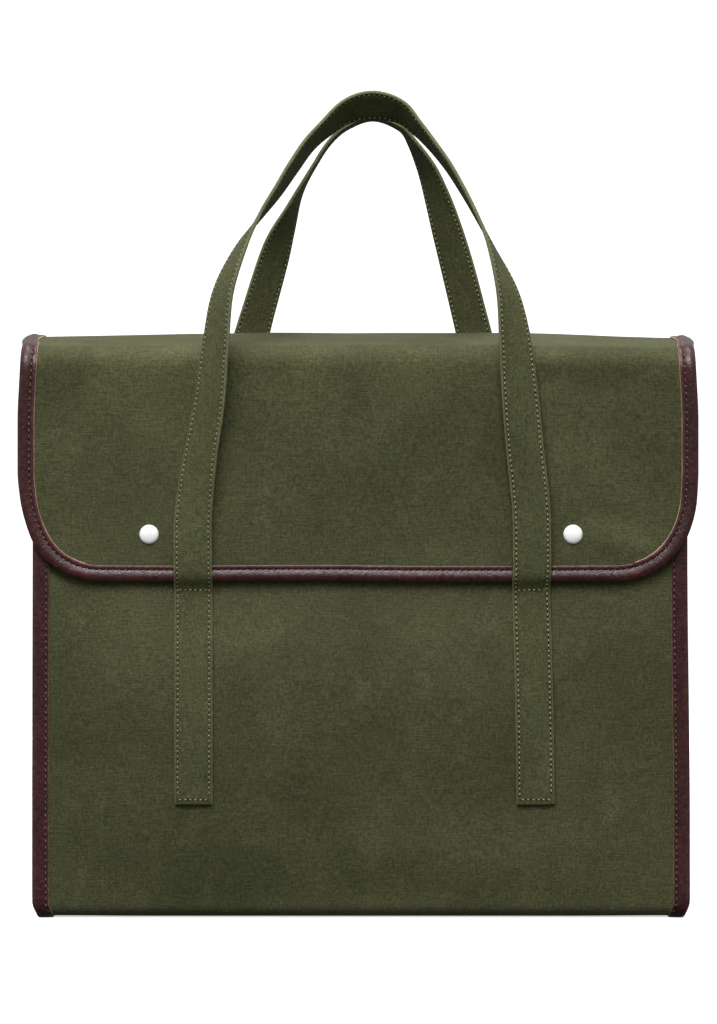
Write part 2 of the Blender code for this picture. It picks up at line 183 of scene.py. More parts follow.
body_corners = [
    Vector((0, -PANEL_OUT, FRONT_TOP)),
    Vector((0, -PANEL_OUT, BASE_Z)),
    Vector((0, PANEL_OUT, BASE_Z)),
    Vector((0, PANEL_OUT, BACK_TOP)),
]
CLOTH_INSET = BINDING - 0.003  # the flap's cloth ends inside its binding, clear of the strip's fold
flap_corners = [
    Vector((0, FLAP_OUT, YOKE_END)),
    Vector((0, FLAP_OUT, lid_height(FLAP_OUT))),
    Vector((0, -FLAP_OUT, lid_height(-FLAP_OUT))),
    Vector((0, -FLAP_OUT, FLAP_EDGE + CLOTH_INSET)),
]
FRONT_FOLD_RADIUS = 0.0145
BACK_FOLD_RADIUS = 0.0080
QUAD = 0.0032
body_line = spaced(rounded_line(body_corners, (BASE_CORNER, BASE_CORNER)), QUAD)
flap_line = spaced(rounded_line(flap_corners, (BACK_FOLD_RADIUS, FRONT_FOLD_RADIUS)), QUAD)
lid_middle = min(range(len(flap_line)), key=lambda i: (abs(flap_line[i].y), -flap_line[i].z))
flap_back_line = flap_line[: lid_middle + 1]
flap_front_line = flap_line[lid_middle:]
print(f"body cloth {travelled(body_line)[-1] * 1000:.0f} mm long")
print(f"flap cloth {travelled(flap_line)[-1] * 1000:.0f} mm long")


# %% [markdown]
# ## How the soft goods sag
# Stiff waxed canvas doesn't drape: it bellies a little, ripples between its seams and keeps a crease
# where it was folded. No cloth solver is run: the swell is written as a few slow bumps instead.
# Everything sewn to a cloth goes through the same function, so bindings, feet and stitches stay on
# it.

# %% Swell of the body
BELLY = 0.0040
RIPPLE = 0.0015
STUD_HOLD = 0.016  # how far round a rivet the canvas is held flat
FRONT_LEAN = 0.0046
BACK_LEAN = 0.0032
LEAN_HEIGHT = 0.040
TOE = 0.0028  # how far the bindings turn in where they pass under the bag
LEFT_TAPER = 0.0004
RIGHT_TAPER = 0.0016
BASE_SAG = 0.0007


def lean(y, z):
    """Depth y drawn in towards the middle of the mouth, where the flap presses the edges together."""
    most, top = (FRONT_LEAN, FRONT_TOP) if y < 0 else (BACK_LEAN, BACK_TOP)
    return y * (1 - most / PANEL_OUT * between(z, top - LEAN_HEIGHT, top))


def mouth_taper(x, z):
    """How far each side seam draws in on its way up to the mouth."""
    return (LEFT_TAPER if x < 0 else RIGHT_TAPER) * between(z, 0.060, 0.230)


def turned_in(x, z):
    """How far a side stands in from its place, at the bottom and towards the mouth."""
    return TOE * (1 - between(z, 0.0, 0.011)) + mouth_taper(x, z)


def body_swell(point):
    """A point of the body, moved outwards as the canvas bellies."""
    x, y, z = point
    y = lean(y, z)
    from_seam = between(HALF_WIDTH - abs(x), 0.008, 0.075)
    up = between(z, 0.004, 0.050)
    under_flap = between(z, 0.170, 0.215)
    belly = BELLY * from_seam * up * (1 - 0.75 * under_flap)
    ripple = RIPPLE * drift(x, y, z, 0.085, 3.1) + 0.4 * RIPPLE * drift(x, y, z, 0.034, 7.7)
    ripple *= from_seam * between(z, 0.010, 0.030) * (1 - 0.6 * under_flap)
    facing = -1 if y < 0 else 1
    side_share = between(abs(y), 0.030, 0.042)
    by_stud = (abs(x) - SNAP.x) ** 2 + (z - SNAP.z) ** 2
    riveted = 1 - math.exp(-by_stud / STUD_HOLD**2) if y < 0 else 1.0
    out = facing * side_share * (belly + ripple) * riveted
    toe = turned_in(x, z) * abs(x) / HALF_WIDTH
    sag = -BASE_SAG * (1 - side_share) * from_seam * (1 - between(z, 0.003, 0.010))
    return Vector((x - math.copysign(toe, x), y + out, max(0.0, z + sag)))


# %% Swell of the flap
EDGE_WAVE = 0.0011
FLAP_RIPPLE = 0.0014
STRAP_PRESS = 0.0021
CROWN = 0.0034
TOP_RISE = 0.0009
OUTER_STRAP_EDGE = 0.106  # the straps' outer edges press into the flap about here
FLAP_SHIFT = 0.0019  # this flap was sewn on a little to the left
TOP_FLARE = 0.0034  # the top's side edges stand out most over the middle of the bag's depth
LEFT_TUCK = 0.0030  # how far each lower corner draws in above its curve
RIGHT_TUCK = 0.0016
LEFT_RISE = 0.0009  # the left end of the top stands a little higher
WAIST = 0.0019  # how far the front's side edges draw in below the fold
DIMPLE = 0.0022  # a dent beside the right strap, just below the front fold
CREASE = 0.0019  # a slanting crease near the right lower corner, with a trough above it
TROUGH = 0.0017


def bell(value, reach):
    """1 at nought, fading smoothly to nothing a few times reach away."""
    return math.exp(-((value / reach) ** 2))


def flap_swell(point):
    """A point of the flap, moved as the canvas ripples, dents under the straps and crowns on top."""
    x, y, z = point
    fall = between(FRONT_FOLD.z - z, 0.004, 0.030) if y < 0 else 0.0
    to_edge = between(z - FLAP_EDGE, 0.012, 0.060)
    from_side = between(FLAP_HALF - abs(x), 0.010, 0.060)
    by_snap = 1 - 0.9 * math.exp(-((abs(x) - SNAP.x) ** 2 + (z - SNAP.z) ** 2) / STUD_HOLD**2)
    ripple = FLAP_RIPPLE * (drift(x, 0, z, 0.075, 1.3) + 0.45 * drift(x, 0, z, 0.030, 5.2))
    ripple *= fall * by_snap * (0.35 + 0.65 * from_side)
    strap_height = hump(z, 0.315, 0.085)
    press = STRAP_PRESS * fall * strap_height * bell(abs(x) - OUTER_STRAP_EDGE, 0.013)
    dimple = DIMPLE * fall * bell(x - 0.124, 0.012) * bell(z - 0.346, 0.007)
    above = z - 0.247 + 0.27 * (x - 0.135)
    crease = CREASE * bell(above, 0.008) - TROUGH * bell(above - 0.017, 0.010)
    crease *= fall * hump(x, 0.166, 0.036)
    out = ripple * to_edge - press - dimple + crease + 0.0004 * fall * (1 - to_edge)
    wave = EDGE_WAVE * drift(x, 0, 0, 0.080, 8.4) * (1 - between(z - FLAP_EDGE, 0.0, 0.060))
    on_top = between(z, lid_height(y) - 0.030, lid_height(y) - 0.004)
    back_share = between(y, -FLAP_OUT, FLAP_OUT)
    crown = CROWN * (0.35 + 0.65 * back_share) * between(FLAP_HALF - abs(x), 0.006, 0.130)
    left_rise = LEFT_RISE * between(-x, 0.120, 0.205)
    crown = on_top * (crown + TOP_RISE + left_rise + 0.0006 * drift(x, y, 0, 0.060, 2.0))
    waist = WAIST * (1 - between(lid_height(y) - z, -0.002, 0.045))
    tuck = (LEFT_TUCK if x < 0 else RIGHT_TUCK) * hump(z, FLAP_EDGE + 0.037, 0.034) * fall
    flare = TOP_FLARE * hump(y, 0.012, 0.052) * on_top
    drawn_in = x * (waist + tuck - flare) / FLAP_HALF
    return Vector((x - drawn_in - FLAP_SHIFT, y - out, z + wave * fall + crown))


print(f"largest belly {BELLY * 1000:.1f} mm, flap ripple {FLAP_RIPPLE * 1000:.1f} mm")


# %% [markdown]
# ## Nodes without a tangle
# A finish is a short chain of texture nodes ahead of one shader. These helpers add a node, set its
# sockets and give back its output, so each recipe reads from top to bottom.

# %% Node helpers
class Finish:
    """One material under construction."""

    def __init__(self, name):
        self.material = bpy.data.materials.new(name)
        self.material.use_nodes = True
        self.tree = self.material.node_tree
        self.shader = self.tree.nodes["Principled BSDF"]

    def node(self, kind, output=0, settings=None, **sockets):
        made = self.tree.nodes.new(kind)
        for key, value in (settings or {}).items():
            setattr(made, key, value)
        for key, value in sockets.items():
            self.feed(made.inputs[int(key[1:]) if key[1:].isdigit() else key.replace("_", " ")], value)
        return made.outputs[output]

    def feed(self, socket, value):
        if isinstance(value, bpy.types.NodeSocket):
            self.tree.links.new(value, socket)
        elif isinstance(value, tuple) and len(value) == 3 and socket.type == "RGBA":
            socket.default_value = (*value, 1.0)
        else:
            socket.default_value = value

    def math(self, operation, first, second=0.0):
        return self.node("ShaderNodeMath", settings={"operation": operation}, _0=first, _1=second)

    def mapped(self, coordinates, stretch):
        return self.node("ShaderNodeMapping", _0=coordinates, Scale=stretch)

    def grain(self, coordinates, scale, detail=3.0, distortion=0.0):
        return self.node(
            "ShaderNodeTexNoise", _0=coordinates, Scale=scale, Detail=detail, Distortion=distortion
        )

    def spread(self, value, low, high, to_low=0.0, to_high=1.0):
        """Stretches a range of value onto another, and holds it there."""
        made = self.tree.nodes.new("ShaderNodeMapRange")
        for socket, given in zip(made.inputs, (value, low, high, to_low, to_high)):
            self.feed(socket, given)
        return made.outputs[0]

    def mix(self, share, first, second):
        made = self.tree.nodes.new("ShaderNodeMix")
        made.data_type = "RGBA"
        for index, given in ((0, share), (6, first), (7, second)):
            self.feed(made.inputs[index], given)
        return made.outputs[2]

    def shaded(self, colour, factor):
        """The colour made lighter or darker by a factor."""
        scaling = {"operation": "SCALE"}
        return self.node("ShaderNodeVectorMath", settings=scaling, _0=colour, Scale=factor)

    def bump(self, height, distance, strength=1.0, below=None):
        made = self.tree.nodes.new("ShaderNodeBump")
        self.feed(made.inputs["Height"], height)
        self.feed(made.inputs["Distance"], distance)
        self.feed(made.inputs["Strength"], strength)
        if below is not None:
            self.feed(made.inputs["Normal"], below)
        return made.outputs[0]

    def done(self, colour, roughness, normal=None, **fixed):
        self.feed(self.shader.inputs["Base Color"], colour)
        self.feed(self.shader.inputs["Roughness"], roughness)
        if normal is not None:
            self.feed(self.shader.inputs["Normal"], normal)
        for key, value in fixed.items():
            self.feed(self.shader.inputs[key.replace("_", " ")], value)
        return self.material


# %% [markdown]
# ## Waxed canvas
# Heavy plain-weave cotton, soaked in wax. Close up it shows thread over thread; a step back the
# thick and thin yarns make short streaks both ways; further back the wax clouds it, and folds and
# rubbed places go pale. Each of these is one texture at its own size. The weave follows the cloth's
# own flat map, in metres, so it turns with the cloth, and the clouds are in the bag's space, so they
# run on from piece to piece. The same pale mix also paints light on the front just below the flap,
# and a painted highlight along the straps' folded edges.

# %% Waxed canvas finish
THREAD = 0.00058


def waxed_canvas(name, dark, light, pale, scuffs=1.0):
    finish = Finish(name)
    cloth = finish.node("ShaderNodeUVMap", settings={"uv_map": "cloth"})
    place = finish.node("ShaderNodeTexCoord", 3)
    split = finish.tree.nodes.new("ShaderNodeSeparateXYZ")
    finish.feed(split.inputs[0], cloth)
    ways = []
    for way in split.outputs[:2]:
        ways.append(finish.math("SINE", finish.math("MULTIPLY", way, math.pi / THREAD)))
    crossing = finish.math("MULTIPLY", ways[0], ways[1])
    yarn = finish.math("POWER", finish.math("ABSOLUTE", crossing), 0.6)
    across = finish.grain(finish.mapped(cloth, (90, 1250, 1)), 1.0, 2.0)
    along = finish.grain(finish.mapped(cloth, (1250, 150, 1)), 1.0, 2.0)
    slub = finish.math("ADD", across, along)
    clouds = finish.grain(place, 15.0, 6.0, 0.5)
    wide = finish.grain(place, 5.0, 2.0)
    fuzz = finish.grain(place, 620.0, 2.0)
    specks = finish.grain(place, 1150.0, 1.0)
    near_tone = finish.math("MULTIPLY", clouds, 0.62)
    tone = finish.math("ADD", near_tone, finish.math("MULTIPLY", wide, 0.38))
    colour = finish.mix(finish.spread(tone, 0.34, 0.66), dark, light)
    colour = finish.shaded(colour, finish.spread(slub, 0.76, 1.24, 0.80, 1.20))
    colour = finish.shaded(colour, finish.spread(fuzz, 0.28, 0.72, 0.66, 1.34))
    lint = finish.spread(specks, 0.62, 0.80, 0.0, 0.45)
    lint = finish.math("MULTIPLY", lint, finish.spread(clouds, 0.35, 0.62))
    colour = finish.mix(lint, colour, pale)
    colour = finish.shaded(colour, finish.spread(crossing, -1.0, 1.0, 0.93, 1.05))
    marks = finish.grain(finish.mapped(place, (1.0, 1.0, 0.6)), 48.0, 9.0, 1.0)
    rubbed = finish.spread(marks, 0.58, 0.72, 0.0, 0.24 * scuffs)
    rubbed = finish.math("MULTIPLY", rubbed, finish.spread(fuzz, 0.35, 0.62, 0.15, 1.0))
    colour = finish.mix(rubbed, colour, pale)
    # Rubbed wear at the folds and under the bag, and painted light: the front just below the flap and
    # the straps' folded edges are made paler, as where light falls on them.
    wear_and_light_amount = finish.node("ShaderNodeAttribute", 2, {"attribute_name": "wear_and_painted_light"})
    wear_and_light_share = finish.math("MULTIPLY", wear_and_light_amount, finish.spread(fuzz, 0.25, 0.75, 0.60, 1.0))
    colour = finish.mix(wear_and_light_share, colour, pale)
    roughness = finish.spread(clouds, 0.30, 0.70, 0.82, 0.66)
    weave = finish.bump(yarn, 0.00020, 0.9)
    weave = finish.bump(slub, 0.00045, 0.7, weave)
    weave = finish.bump(fuzz, 0.00030, 0.5, weave)
    normal = finish.bump(clouds, 0.0022, 0.5, weave)
    return finish.done(
        colour, roughness, normal,
        Specular_IOR_Level=0.18, Sheen_Weight=0.05, Sheen_Roughness=0.5, Sheen_Tint=(0.75, 0.80, 0.45),
    )


OLIVE_DARK = (0.050, 0.053, 0.0215)
OLIVE = (0.081, 0.086, 0.036)
OLIVE_PALE = (0.185, 0.190, 0.102)
canvas_finish = waxed_canvas("waxed_canvas_cloth", OLIVE_DARK, OLIVE, OLIVE_PALE)
strap_finish = waxed_canvas(
    "waxed_canvas_strap", (0.060, 0.064, 0.0262), (0.086, 0.092, 0.0385), (0.230, 0.238, 0.124), 0.4
)
print("canvas threads every", THREAD * 1000, "mm")

# %% [markdown]
# ## Binding leather, its raw edge, thread and needle holes
# Oxblood calf with a shine: small pebbles and finer wrinkles between them, with a painted highlight
# that lightens the strip along its outer fold and beside its cut edges. The cut edge was never dyed,
# so it shows tan. The thread is waxed and two-ply, and the hole a needle leaves at each end of a
# stitch is a near-black disc of painted shade.

# %% Leather, edge and thread finishes, and the painted shade of the needle holes
def binding_leather(name):
    finish = Finish(name)
    place = finish.node("ShaderNodeTexCoord", 3)
    cells = {"feature": "SMOOTH_F1"}
    pebbles = finish.node("ShaderNodeTexVoronoi", 0, cells, _0=place, Scale=820.0, Smoothness=0.7)
    wrinkles = finish.grain(place, 330.0, 5.0, 0.9)
    clouds = finish.grain(place, 30.0, 4.0)
    dark, light = (0.022, 0.0045, 0.0046), (0.046, 0.0105, 0.0100)
    colour = finish.mix(finish.spread(clouds, 0.32, 0.68), dark, light)
    colour = finish.shaded(colour, finish.spread(wrinkles, 0.32, 0.68, 0.60, 1.45))
    colour = finish.mix(finish.spread(pebbles, 0.0, 0.75, 0.30, 0.0), colour, (0.085, 0.028, 0.025))
    # Painted highlight: the strip's outer fold and the skin beside its cut edges are mixed towards a
    # lighter red, where their ridges would catch the light.
    wear_and_light_amount = finish.node("ShaderNodeAttribute", 2, {"attribute_name": "wear_and_painted_light"})
    wear_and_light_share = finish.math("MULTIPLY", wear_and_light_amount, finish.spread(wrinkles, 0.35, 0.65, 0.25, 1.0))
    colour = finish.mix(wear_and_light_share, colour, (0.135, 0.060, 0.052))
    roughness = finish.spread(wrinkles, 0.30, 0.70, 0.26, 0.42)
    normal = finish.bump(pebbles, 0.00016, 0.6)
    normal = finish.bump(wrinkles, 0.00040, 0.80, normal)
    return finish.done(colour, roughness, normal, Specular_IOR_Level=0.40)


def cut_edge(name):
    finish = Finish(name)
    place = finish.node("ShaderNodeTexCoord", 3)
    fibres = finish.grain(place, 900.0, 4.0)
    blotches = finish.grain(place, 60.0, 3.0)
    colour = finish.mix(finish.spread(blotches, 0.35, 0.65), (0.38, 0.21, 0.135), (0.66, 0.44, 0.30))
    colour = finish.mix(finish.spread(fibres, 0.35, 0.70, 0.45, 0.0), colour, (0.16, 0.075, 0.050))
    return finish.done(colour, 0.85, finish.bump(fibres, 0.00025, 0.8), Specular_IOR_Level=0.2)


def sewing_thread(name, dark, light):
    finish = Finish(name)
    place = finish.node("ShaderNodeTexCoord", 3)
    twist = {"bands_direction": "DIAGONAL"}
    ply = finish.node("ShaderNodeTexWave", 0, twist, _0=place, Scale=420.0, Distortion=1.0)
    fluff = finish.grain(place, 1400.0, 2.0)
    colour = finish.mix(finish.spread(ply, 0.1, 0.9), dark, light)
    return finish.done(colour, finish.spread(fluff, 0.3, 0.7, 0.5, 0.7), finish.bump(ply, 0.0001, 0.6))


# Painted shade: a needle hole is a near-black disc laid on the leather, standing in for the shadow
# inside the hole.
def needle_hole_shade(name):
    finish = Finish(name)
    place = finish.node("ShaderNodeTexCoord", 3)
    depth = finish.grain(place, 800.0, 2.0)
    colour = finish.mix(depth, (0.004, 0.003, 0.0025), (0.012, 0.009, 0.007))
    return finish.done(colour, 0.95, finish.bump(depth, 0.0001, 0.5), Specular_IOR_Level=0.1)


leather_finish = binding_leather("oxblood_binding")
edge_finish = cut_edge("undyed_cut_edge")
olive_thread = sewing_thread("olive_thread", (0.20, 0.175, 0.085), (0.46, 0.42, 0.25))
brown_thread = sewing_thread("brown_thread", (0.085, 0.050, 0.045), (0.25, 0.175, 0.155))
hole_shade_finish = needle_hole_shade("needle_hole_shade")


# %% [markdown]
# ## Snap metal
# The caps are plated a matt silver that is nearly white, so their finish is a pale satin coat more
# than a mirror: fine turning marks and a soft sheen. The parts under the flap are plain plated metal.

# %% Snap metal finish
def satin_metal(name, tint, low, high, metallic):
    finish = Finish(name)
    place = finish.node("ShaderNodeTexCoord", 3)
    turning = finish.grain(finish.mapped(place, (1.0, 1.0, 14.0)), 260.0, 3.0)
    cloud = finish.grain(place, 160.0, 2.0)
    shade = tuple(0.93 * channel for channel in tint)
    colour = finish.mix(finish.spread(cloud, 0.35, 0.65), shade, tint)
    roughness = finish.spread(turning, 0.3, 0.7, low, high)
    return finish.done(colour, roughness, finish.bump(turning, 0.00004, 0.4), Metallic=metallic)


cap_finish = satin_metal("satin_cap", (0.98, 0.98, 0.97), 0.34, 0.48, 0.05)
inner_finish = satin_metal("inner_snap_metal", (0.62, 0.61, 0.58), 0.24, 0.38, 1.0)


# %% [markdown]
# ## Cutting cloth and folding leather
# Cloth is a grid: one operator makes it, and each corner of a quad is then laid in its place. The
# grid's flat position is kept as the cloth map, in metres. A strap or a binding is a closed section
# carried along a line, which is the same grid with its two long edges joined and its ends filled.

# %% Finish a mesh as a piece
STRIP_SHARP = math.radians(38)  # edges that turn more than this stay crisp
CLOTH_SHARP = math.radians(60)
CAP_SHARP = math.radians(50)


def new_piece(name, bm, materials):
    """Turns a bmesh into a smooth object at the origin."""
    mesh = bpy.data.meshes.new(name)
    bm.to_mesh(mesh)
    bm.free()
    for material in materials:
        mesh.materials.append(material)
    mesh.shade_smooth()
    piece = bpy.data.objects.new(name, mesh)
    bpy.context.scene.collection.objects.link(piece)
    return piece


def sewn_piece(name, bm, materials, swell=None):
    """A piece that the cloth under it has moved."""
    if swell:
        for vert in bm.verts:
            vert.co = swell(vert.co)
    piece = new_piece(name, bm, materials)
    return piece


def fixed(piece, sharp):
    """Applies the piece's modifiers, and shades it smooth up to a sharp angle."""
    bpy.context.view_layer.update()
    graph = bpy.context.evaluated_depsgraph_get()
    mesh = bpy.data.meshes.new_from_object(piece.evaluated_get(graph))
    old = piece.data
    piece.modifiers.clear()
    piece.data = mesh
    bpy.data.meshes.remove(old)
    mesh.name = piece.name
    mesh.shade_smooth()
    mesh.set_sharp_from_angle(angle=sharp)
    return piece


# %% Lay a grid
def laid_grid(across, along, corner, finish_of=None):
    """A grid of quads, each corner laid where corner(column, row) says: its place, flat place and
    how pale it is from wear and painted light. finish_of(column, row) picks the material of a quad."""
    bm = bmesh.new()
    bmesh.ops.create_grid(bm, x_segments=across, y_segments=along, size=1)
    flat = bm.loops.layers.uv.new("cloth")
    wear_and_light_amount = bm.verts.layers.float.new("wear_and_painted_light")
    laid = {}
    for vert in bm.verts:
        column = round((vert.co.x + 1) / 2 * across)
        row = round((vert.co.y + 1) / 2 * along)
        laid[vert] = corner(column, row)
        vert[wear_and_light_amount] = laid[vert][2]
    for face in bm.faces:
        middle = face.calc_center_median()
        if finish_of:
            face.material_index = finish_of(
                int((middle.x + 1) / 2 * across), int((middle.y + 1) / 2 * along)
            )
        for loop in face.loops:
            loop[flat].uv = laid[loop.vert][1]
    for vert, (where, _, _) in laid.items():
        vert.co = where
    return bm


# %% Cut a cloth
def cut_cloth(name, columns, rows, lay, swell=None, wear_and_painted_light=None):
    """A sheet of canvas. columns and rows hold flat distances, and lay(x, i) gives where the corner at
    flat distance x across row i lies, with its true flat distance for the cloth map."""

    def corner(column, row):
        where, true_x = lay(columns[column], row)
        return where, (true_x, rows[row]), wear_and_painted_light(true_x, row) if wear_and_painted_light else 0.0

    bm = laid_grid(len(columns) - 1, len(rows) - 1, corner)
    piece = sewn_piece(name, bm, [canvas_finish], swell)
    solid = piece.modifiers.new("cloth thickness", "SOLIDIFY")
    solid.thickness = CANVAS
    solid.offset = 0
    solid.use_even_offset = True
    fixed(piece, CLOTH_SHARP)
    print(f"{name}: {len(piece.data.polygons)} faces")
    return piece


# %% Carry a section along a line
def carried_section(
    name, stations, section, materials, swell, wear_and_painted_light, cut_faces=(), taper=None, dyed=None
):
    """A closed strip. A station is (origin, sideways, outwards) and a section point is (sideways,
    outwards), with the paleness of its painted highlight. Section faces listed in cut_faces get the
    second material, except at dyed stations."""
    around = len(section)
    runs = travelled([station[0] for station in stations])
    girth = travelled([Vector((*point, 0)) for point in (*section, section[0])])

    def corner(column, row):
        origin, sideways, outwards = stations[row]
        depth, height = section[column % around]
        if taper:
            depth, height = taper(depth, height, runs[row], runs[-1])
        where = origin + sideways * depth + outwards * height
        return where, (runs[row], girth[column]), wear_and_painted_light[column % around]

    def finish_of(column, row):
        return 1 if column in cut_faces and not (dyed and dyed(stations[row])) else 0

    bm = laid_grid(around, len(stations) - 1, corner, finish_of)
    bmesh.ops.remove_doubles(bm, verts=bm.verts, dist=1e-6)
    ends = [edge for edge in bm.edges if edge.is_boundary]
    bmesh.ops.holes_fill(bm, edges=ends, sides=0)
    bmesh.ops.recalc_face_normals(bm, faces=bm.faces)
    piece = sewn_piece(name, bm, materials, swell)
    piece.data.set_sharp_from_angle(angle=STRIP_SHARP)
    print(f"{name}: {len(piece.data.polygons)} faces, {runs[-1] * 1000:.0f} mm long")
    return piece


# %% [markdown]
# ## Stitches
# Each stitch is a short thread that dives into the cloth at both ends, with the needle's hole at one
# of them, a near-black disc of painted shade. One stitch is modelled once, then set down at every
# pitch of a row: a bent bead of a few dozen faces is enough, because hundreds are sewn.

# %% One stitch, and rows of it
def stitch_shape(length, radius, hole, slant):
    """A single stitch lying along X on the XY plane, seen from +Z."""
    bm = bmesh.new()
    thread = bmesh.ops.create_uvsphere(bm, u_segments=6, v_segments=6, radius=1)["verts"]
    bmesh.ops.rotate(bm, verts=thread, matrix=Matrix.Rotation(math.pi / 2, 3, "Y"))
    bmesh.ops.scale(bm, verts=thread, vec=(length / 2, radius, radius * 0.8))
    for vert in thread:
        vert.co.z -= radius * 0.7 * (2 * vert.co.x / length) ** 2 - radius * 0.15
    before = set(bm.faces)
    # The needle hole: a flat near-black disc of painted shade at the stitch's far end.
    pit = bmesh.ops.create_icosphere(bm, subdivisions=1, radius=1)["verts"]
    bmesh.ops.scale(bm, verts=pit, vec=(hole * 1.25, hole, radius * 0.28))
    bmesh.ops.translate(bm, verts=pit, vec=(length * 0.62, 0, 0))
    for face in bm.faces:
        face.material_index = 0 if face in before else 1
    bmesh.ops.rotate(bm, verts=bm.verts, matrix=Matrix.Rotation(slant, 3, "Z"))
    mesh = bpy.data.meshes.new("stitch")
    bm.to_mesh(mesh)
    bm.free()
    return mesh


def seat(points, pitch):
    """Places every pitch along a row of (point, outwards), as matrices with X along the row."""
    seats = []
    due = pitch / 2
    gone = 0.0
    for (start, up), (end, up_after) in zip(points, points[1:]):
        length = (end - start).length
        while length and due <= gone + length:
            share = (due - gone) / length
            run = (end - start).normalized()
            outwards = up.lerp(up_after, share)
            outwards = (outwards - run * outwards.dot(run)).normalized()
            side = outwards.cross(run)
            turn = Matrix((run, side, outwards)).transposed().to_4x4()
            seats.append(Matrix.Translation(start.lerp(end, share)) @ turn)
            due += pitch
        gone += length
    return seats


# how each kind of row is sewn: pitch, the share of it that is thread, its radius, the hole, the slant
SEAM_SEWING = (0.0041, 0.50, 0.00036, 0.00056, 0.16)
FLAP_SEWING = (0.0041, 0.50, 0.00034, 0.00082, 0.34)
CLOTH_SEWING = (0.0031, 0.55, 0.00036, 0.00044, 0.0)
STRAP_SEWING = (0.0033, 0.52, 0.00044, 0.00056, 0.0)


def sew(name, rows, sewing, thread, swell):
    """All the stitches of some rows, as one piece."""
    pitch, share, radius, hole, slant = sewing
    stitch = stitch_shape(pitch * share, radius, hole, slant)
    bm = bmesh.new()
    count = 0
    for row in rows:
        for place in seat(row, pitch):
            stitch.transform(place)
            bm.from_mesh(stitch)
            stitch.transform(place.inverted())
            count += 1
    bpy.data.meshes.remove(stitch)
    piece = sewn_piece(name, bm, [thread, hole_shade_finish], swell)
    print(f"{name}: {count} stitches")
    return piece


# %% [markdown]
# ## The body cloth
# Front, base and back are one cut of canvas. Its outer face bellies a little between the bound side
# seams, and at the bottom it toes in where the bindings turn under the bag.

# %% Body cloth
def divided(low, high, spacing):
    parts = max(1, math.ceil((high - low) / spacing))
    return [low + (high - low) * i / parts for i in range(parts + 1)]


PANEL_HALF = HALF_WIDTH - WRAP
body_columns = divided(-PANEL_HALF, PANEL_HALF, QUAD)
body_rows = travelled(body_line)


def lay_body(x, row):
    return Vector((x, body_line[row].y, body_line[row].z)), x


def body_wear_and_painted_light(x, row):
    """Rubbed pale where the cloth turns under the bag, and painted light on the front just below the
    flap, made paler as if lit more from above.
    """
    z = body_line[row].z
    under = 0.28 * hump(z, 0.0045, 0.006) if z < 0.012 else 0.0
    # Painted light: the front just below the flap is made paler, standing in for the light from above.
    painted_light_below_flap = 0.15 * hump(z, 0.188, 0.060) * hump(x, 0.0, 0.260) if body_line[row].y < 0 else 0.0
    return under + painted_light_below_flap


body = cut_cloth("body_canvas", body_columns, body_rows, lay_body, body_swell, body_wear_and_painted_light)
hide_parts("front_panel", "base_panel", "back_panel")
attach(body, "root")

# %% [markdown]
# ## Gussets
# Each side is a narrow panel caught in the two side seams. With nothing inside to hold it out, it
# caves in towards the mouth, with a soft crease down its middle.

# %% Gussets
GUSSET_X = (gusset_low.x + gusset_high.x) / 2
GUSSET_HALF = gusset_high.y
GUSSET_CAVE = 0.0062
GUSSET_CORNER = 0.0069
FLARE = 0.0006


def mouth_height(y):
    return FRONT_TOP + (BACK_TOP - FRONT_TOP) * (y + PANEL_OUT) / (2 * PANEL_OUT)


def make_gusset(side_name, side):
    bottom = gusset_low.z
    columns = divided(-GUSSET_HALF, GUSSET_HALF, QUAD)
    height = mouth_height(0) - bottom
    rows = divided(0.0, height, QUAD)

    def lay(y, row):
        share = rows[row] / height
        rounding = max(0.0, abs(y) - (GUSSET_HALF - GUSSET_CORNER))
        low = bottom + GUSSET_CORNER - math.sqrt(max(0.0, GUSSET_CORNER**2 - rounding**2))
        z = low + share * (mouth_height(y) - low)
        across = 1 - (y / GUSSET_HALF) ** 2
        pointed = 1 - abs(y) / GUSSET_HALF
        cave = GUSSET_CAVE * between(share, 0.05, 0.95) * (0.55 * across + 0.45 * pointed)
        cave += 0.0012 * across * (drift(side, y, z, 0.060, 4.0) + 0.5 * drift(side, y, z, 0.022, 9.0))
        flare = FLARE * between(abs(y), GUSSET_HALF - 0.003, GUSSET_HALF)
        return Vector((side * (GUSSET_X - cave - turned_in(side, z) + flare), lean(y, z), z)), y

    piece = cut_cloth(f"{side_name}_gusset_canvas", columns, rows, lay)
    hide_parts(f"{side_name}_gusset")
    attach(piece, "root")


for side_name, side in SIDES:
    make_gusset(side_name, side)

# %% [markdown]
# ## Binding strip
# A leather strip folded over the canvas edge. Its section is drawn once, from the outer fold in: the
# skin swells, dips where the stitches pull it down, rises again and ends in a skived cut that shows
# tan. The same section runs round the side seams and round the flap.

# %% Binding section
FLAP_STITCH = 0.0075  # from the fold in to the row of stitches
SEAM_STITCH = 0.0088


